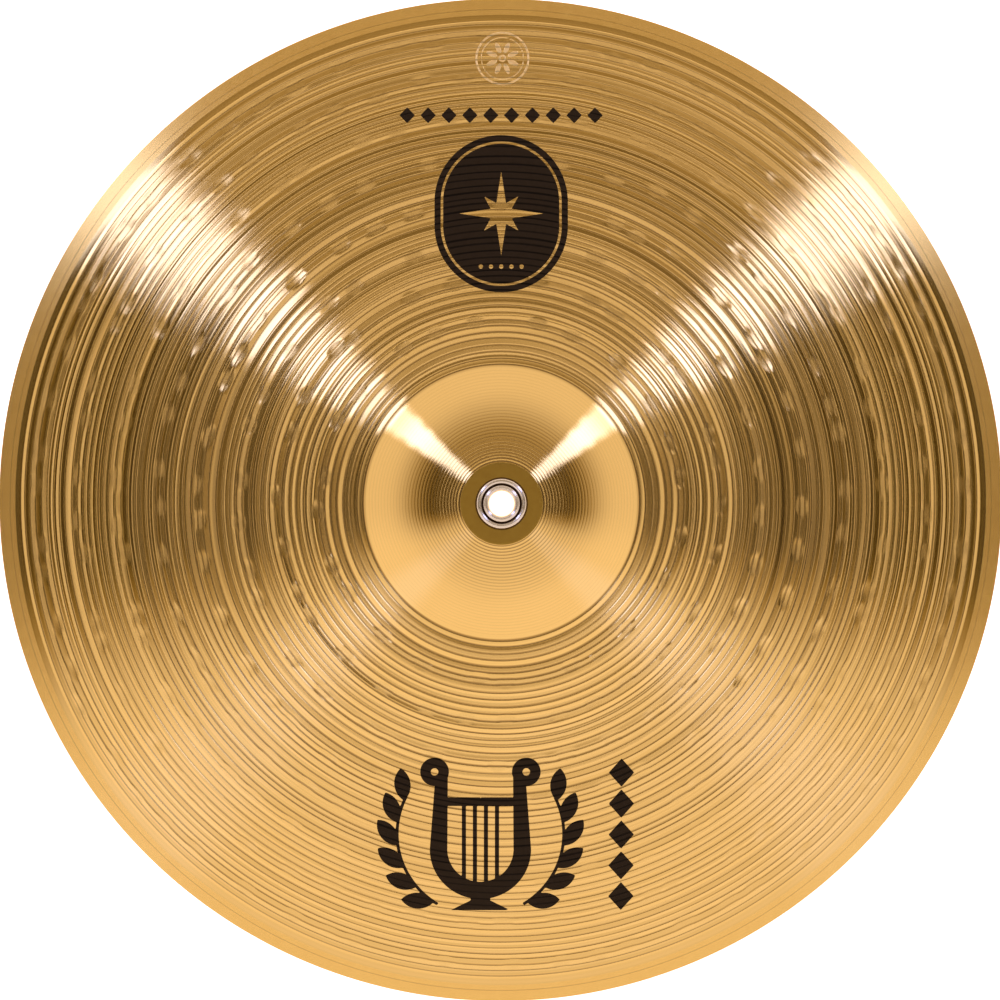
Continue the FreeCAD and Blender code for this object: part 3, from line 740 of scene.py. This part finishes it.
class Field:
    """A number worked out by shader nodes, with arithmetic that adds the nodes it needs."""

    def __init__(self, tree, socket):
        self.tree = tree
        self.socket = socket

    def math(self, operation, *others):
        """Applies a Math node to this number and the others."""
        node = self.tree.nodes.new("ShaderNodeMath")
        node.operation = operation
        for place, value in enumerate((self, *others)):
            if isinstance(value, Field):
                self.tree.links.new(value.socket, node.inputs[place])
            else:
                node.inputs[place].default_value = value
        return Field(self.tree, node.outputs[0])

    def __add__(self, other):
        return self.math("ADD", other)

    def __sub__(self, other):
        return self.math("SUBTRACT", other)

    def __mul__(self, other):
        return self.math("MULTIPLY", other)

    def step(self, start, end):
        """0 before start and 1 after end, with a smooth rise between. If end is the lower one, it is 1
        below end and 0 above start.
        """
        node = self.tree.nodes.new("ShaderNodeMapRange")
        node.interpolation_type = "SMOOTHSTEP"
        rising = start < end
        self.tree.links.new(self.socket, node.inputs["Value"])
        node.inputs["From Min"].default_value = min(start, end)
        node.inputs["From Max"].default_value = max(start, end)
        node.inputs["To Min"].default_value = 0.0 if rising else 1.0
        node.inputs["To Max"].default_value = 1.0 if rising else 0.0
        return Field(self.tree, node.outputs["Result"])

    def toward(self, other, share):
        """This number where share is 0, and the other where share is 1."""
        return self + (share * other) - (share * self)


def new_material(name):
    material = bpy.data.materials.new(name)
    material.use_nodes = True
    tree = material.node_tree
    tree.nodes.clear()
    output = tree.nodes.new("ShaderNodeOutputMaterial")
    shader = tree.nodes.new("ShaderNodeBsdfPrincipled")
    tree.links.new(shader.outputs["BSDF"], output.inputs["Surface"])
    return material, tree, shader


def set_shader(shader, **values):
    """Sets the shader's own sockets. Each keyword is a socket's name, with _ for each space."""
    for name, value in values.items():
        shader.inputs[name.replace("_", " ")].default_value = value


def radial_brass(name, anisotropy):
    """A brass whose highlights run outwards from the cymbal's axis."""
    quarter_turn = 0.25
    material, tree, shader = new_material(name)
    set_shader(shader, Metallic=1.0, Anisotropic=anisotropy, Anisotropic_Rotation=quarter_turn)
    tangent = tree.nodes.new("ShaderNodeTangent")
    tangent.direction_type = "RADIAL"
    tangent.axis = "Z"
    tree.links.new(tangent.outputs["Tangent"], shader.inputs["Tangent"])
    return material, tree, shader


def attribute_field(tree, name):
    """The number that point_attribute stored under a name."""
    node = tree.nodes.new("ShaderNodeAttribute")
    node.attribute_name = name
    return Field(tree, node.outputs["Fac"])


def blend_colours(tree, share, low, high):
    """The colour low where share is 0, and high where it is 1. Each is a colour or a node's output."""
    node = tree.nodes.new("ShaderNodeMix")
    node.data_type = "RGBA"
    tree.links.new(share.socket, node.inputs["Factor"])
    for place, colour in (("A", low), ("B", high)):
        socket = [entry for entry in node.inputs if entry.name == place and entry.type == "RGBA"][0]
        if isinstance(colour, tuple):
            socket.default_value = colour
        else:
            tree.links.new(colour, socket)
    return [entry for entry in node.outputs if entry.type == "RGBA"][0]


def noise_field(tree, scale):
    """A soft random number between 0 and 1 that varies over the object."""
    where = tree.nodes.new("ShaderNodeTexCoord")
    noise = tree.nodes.new("ShaderNodeTexNoise")
    tree.links.new(where.outputs["Object"], noise.inputs["Vector"])
    noise.inputs["Scale"].default_value = scale
    noise.inputs["Detail"].default_value = 3.0
    return Field(tree, noise.outputs["Fac"])


def ring_field(tree, scale):
    """A random number between 0 and 1 that changes only with the distance from the cymbal's axis."""
    where = tree.nodes.new("ShaderNodeTexCoord")
    parts = tree.nodes.new("ShaderNodeSeparateXYZ")
    tree.links.new(where.outputs["Object"], parts.inputs["Vector"])
    x, y, _ = [Field(tree, output) for output in parts.outputs]
    radius = (x * x + y * y).math("SQRT")
    noise = tree.nodes.new("ShaderNodeTexNoise")
    noise.noise_dimensions = "1D"
    tree.links.new(radius.socket, noise.inputs["W"])
    noise.inputs["Scale"].default_value = scale
    noise.inputs["Detail"].default_value = 2.0
    return Field(tree, noise.outputs["Fac"])


def lathed_brass_material():
    """Bright brass: each ring has its own tone, the cuts are darker with painted shade, and the dents are a
    little duller.
    """
    material, tree, shader = radial_brass("lathed_brass", 1.0)
    cut = attribute_field(tree, "cut")
    tone = attribute_field(tree, "tone")
    hammered = attribute_field(tree, "hammered")
    tarnish = noise_field(tree, TARNISH_SCALE)
    fine = ring_field(tree, FINE_RING_SCALE)
    land = blend_colours(tree, tone * 0.5 + tarnish * 0.3 + fine * 0.4, BRASS_DULL, BRASS_BRIGHT)
    # The cuts take on BRASS_DARK as painted shade.
    metal = blend_colours(tree, cut * CUT_DARKNESS, land, BRASS_DARK)
    tree.links.new(metal, shader.inputs["Base Color"])
    roughness = hammered * HAMMERED_ROUGHNESS + cut * CUT_ROUGHNESS
    roughness = roughness + tone * TONE_ROUGHNESS + fine * FINE_ROUGHNESS + LATHED_ROUGHNESS
    tree.links.new(roughness.socket, shader.inputs["Roughness"])
    return material


def raw_brass_material(name, colour, dull, roughness, anisotropy):
    """Brass that the lathe has left alone, faintly mottled, with shade painted into its cuts and the
    washer's shadow painted round it on the crown.
    """
    material, tree, shader = radial_brass(name, anisotropy)
    mottle = noise_field(tree, MOTTLE_SCALE)
    cut = attribute_field(tree, "cut")
    metal = blend_colours(tree, mottle, dull, colour)
    # Painted shade: the cuts, and the washer's shadow on the crown, turn dark brown.
    tree.links.new(blend_colours(tree, cut * SHADE_DARKNESS, metal, SHADE_COLOUR), shader.inputs["Base Color"])
    roughness = mottle * MOTTLE_ROUGHNESS + (roughness - MOTTLE_ROUGHNESS / 2)
    tree.links.new(roughness.socket, shader.inputs["Roughness"])
    return material


def nickel_material():
    """Polished nickel that has yellowed a little, with painted shade in the eyelet's creases."""
    material, tree, shader = new_material("nickel_plate")
    set_shader(shader, Metallic=1.0)
    mottle = noise_field(tree, NICKEL_SCALE)
    # The creases' painted shade turns the nickel dark brown and rougher.
    crease_shade = attribute_field(tree, "crease_shade")
    metal = blend_colours(tree, mottle, NICKEL_DULL, NICKEL_BRIGHT)
    tree.links.new(blend_colours(tree, crease_shade, metal, SHADE_COLOUR), shader.inputs["Base Color"])
    roughness = crease_shade * 0.3 + mottle * 0.08 + NICKEL_ROUGHNESS
    tree.links.new(roughness.socket, shader.inputs["Roughness"])
    return material


def ink_material():
    """A dull brown-black ink, speckled, and blackest in the cuts, where shade is painted into it."""
    material, tree, shader = new_material("printed_ink")
    cut = attribute_field(tree, "cut")
    speckle = noise_field(tree, INK_SCALE)
    colour = blend_colours(tree, cut * 1.2 + speckle * 0.3, INK_BROWN, INK_BLACK)
    tree.links.new(colour, shader.inputs["Base Color"])
    tree.links.new((speckle * 0.15 + INK_ROUGHNESS).socket, shader.inputs["Roughness"])
    set_shader(shader, Specular_IOR_Level=0.06, Specular_Tint=(1.0, 0.75, 0.45, 1))
    return material


# ---- camera, floor and lights ---------------------------------------------------------------------------

CAMERA_DISTANCE = 1.8
CAMERA_LEAN_BACK = math.radians(1.34)
CAMERA_LEAN_LEFT = math.radians(0.33)
CAMERA_AIM = Vector((-0.45 * MM, 0.6 * MM, 0.0))
FRAME_WIDTH = 2 * RIM_RADIUS * 0.9976
FLOOR_HALF_SIZE = 3.0
FLOOR_GAP = 0.05 * MM

# The brightness of each part of the studio.
STUDIO = {
    "top": 0.22,
    "side": 0.04,
    "bottom": 0.88,
    "strip": 1.5,
    "second": 0.07,
    "horizon": 0.92,
    "ring": 1.0,
    "zenith": 0.42,
}
DIM_WALL = (1.0, 0.77, 0.24, 1)
BRIGHT_WALL = (1.0, 1.0, 1.2, 1)
STRIP_COLOUR = (1.0, 1.3, 3.4, 1)


def facing(direction, up):
    """The rotation whose Z axis points along direction and whose Y axis is as near up as it can be."""
    z_axis = Vector(direction).normalized()
    y_axis = (Vector(up) - z_axis * Vector(up).dot(z_axis)).normalized()
    x_axis = y_axis.cross(z_axis)
    return Matrix((x_axis, y_axis, z_axis)).transposed().to_4x4()


def place(item, position, direction, up):
    """Puts an object in the scene, with its Z axis along direction."""
    item.matrix_world = Matrix.Translation(position) @ facing(direction, up)
    bpy.context.scene.collection.objects.link(item)


def make_camera():
    """A camera nearly straight above the cymbal, whose frame just cuts the rim on all four sides."""
    data = bpy.data.cameras.new("camera")
    data.sensor_width = 36.0
    data.lens = data.sensor_width * CAMERA_DISTANCE / FRAME_WIDTH
    data.clip_end = 20.0
    camera = bpy.data.objects.new("camera", data)
    direction = Vector((-math.tan(CAMERA_LEAN_LEFT), math.tan(CAMERA_LEAN_BACK), 1.0)).normalized()
    place(camera, CAMERA_AIM + direction * CAMERA_DISTANCE, direction, (0, 1, 0))
    bpy.context.scene.camera = camera


def make_floor():
    """A white floor that glows, so that it has no shadow on it."""
    corners = [(-1, -1), (1, -1), (1, 1), (-1, 1)]
    points = [(x * FLOOR_HALF_SIZE, y * FLOOR_HALF_SIZE, -FLOOR_GAP) for x, y in corners]
    floor = mesh_object("studio_floor", points, [[0, 1, 2, 3]], smooth=False)
    material, _, shader = new_material("white_floor")
    set_shader(shader, Base_Color=(0.9, 0.9, 0.9, 1), Roughness=0.8)
    set_shader(shader, Emission_Color=(1, 1, 1, 1), Emission_Strength=1.0)
    floor.data.materials.append(material)


def make_lights():
    """A studio sky of soft zones, the same on the left and the right.

    down is the angle from the vertical, in degrees. around is the angle from the +Y side, 0 to 180 either
    way, about the direction that a level face mirrors to the camera. The sky is dim on the +Y side, dark at
    the sides and bright on the -Y side, with a strong strip before each side and a weak one after it. A pale
    ring circles the zenith, and the sky is pale all round towards the horizon.
    """
    world = bpy.data.worlds.new("studio")
    world.use_nodes = True
    tree = world.node_tree
    background = tree.nodes["Background"]
    place_in_sky = tree.nodes.new("ShaderNodeTexCoord")
    parts = tree.nodes.new("ShaderNodeSeparateXYZ")
    tree.links.new(place_in_sky.outputs["Generated"], parts.inputs["Vector"])
    x, y, z = [Field(tree, output) for output in parts.outputs]
    x = x - z * math.tan(CAMERA_LEAN_LEFT)
    y = y + z * math.tan(CAMERA_LEAN_BACK)
    around = x.math("ARCTAN2", y).math("ABSOLUTE").math("DEGREES")
    down = z.math("ARCCOSINE").math("DEGREES")

    # below is 1 on the -Y side, and reaches further up near the horizon.
    below = (around + down * 0.15).step(101, 129)

    # The +Y side and the dark sides are half as bright near the zenith, and 1.9 times as bright lower down.
    level = around.step(58, 38) * (STUDIO["top"] - STUDIO["side"]) + STUDIO["side"]
    level = level * (down.step(29, 36) * 0.9 + 1)
    level = level * (down.step(12, 8) * -0.5 + 1)

    # The -Y side, the horizon, the pale ring and the zenith are laid over that one after another.
    level = level.toward(STUDIO["bottom"], below)
    level = level.toward(below * 0.12 + STUDIO["horizon"], down.step(36, 66))
    level = level.toward(below * 0.1 + STUDIO["ring"], down.step(13, 19) * down.step(26, 22))
    level = level.toward(below * 0.45 + STUDIO["zenith"], down.step(4.5, 1.5))

    # The strong strip wavers a little, and widens where the outer bow and the bell mirror it.
    ragged = around + (down * 0.6).math("SINE") * 1.5
    flare = down.step(14, 21) * down.step(30, 26) + down.step(28, 45) * 0.4
    strip = (ragged + flare * 3.0).step(45, 48) * (ragged - flare * 6.0).step(57, 54)
    strip = strip * down.step(5, 19) * down.step(95, 55)
    second = around.step(120, 131) * around.step(146, 136)
    level = level + strip * STUDIO["strip"] + second * STUDIO["second"]

    tree.links.new(level.socket, background.inputs["Strength"])
    walls = blend_colours(tree, level.step(0.08, 0.75), DIM_WALL, BRIGHT_WALL)
    colour = blend_colours(tree, strip + second * 0.15, walls, STRIP_COLOUR)
    tree.links.new(colour, background.inputs["Color"])
    bpy.context.scene.world = world


make_camera()
make_floor()
make_lights()
make_plate(
    lathed_brass_material(),
    raw_brass_material("rim_brass", RIM_BRIGHT, RIM_DULL, 0.26, 0.9),
    raw_brass_material("crown_brass", CROWN_BRIGHT, CROWN_DULL, 0.35, 0.0),
)
make_eyelet(nickel_material())
make_prints(ink_material(), raw_brass_material("etched_brass", ETCHED_BRIGHT, BRASS_BRIGHT, 0.45, 0.0))

bpy.context.scene.view_settings.view_transform = "Standard"
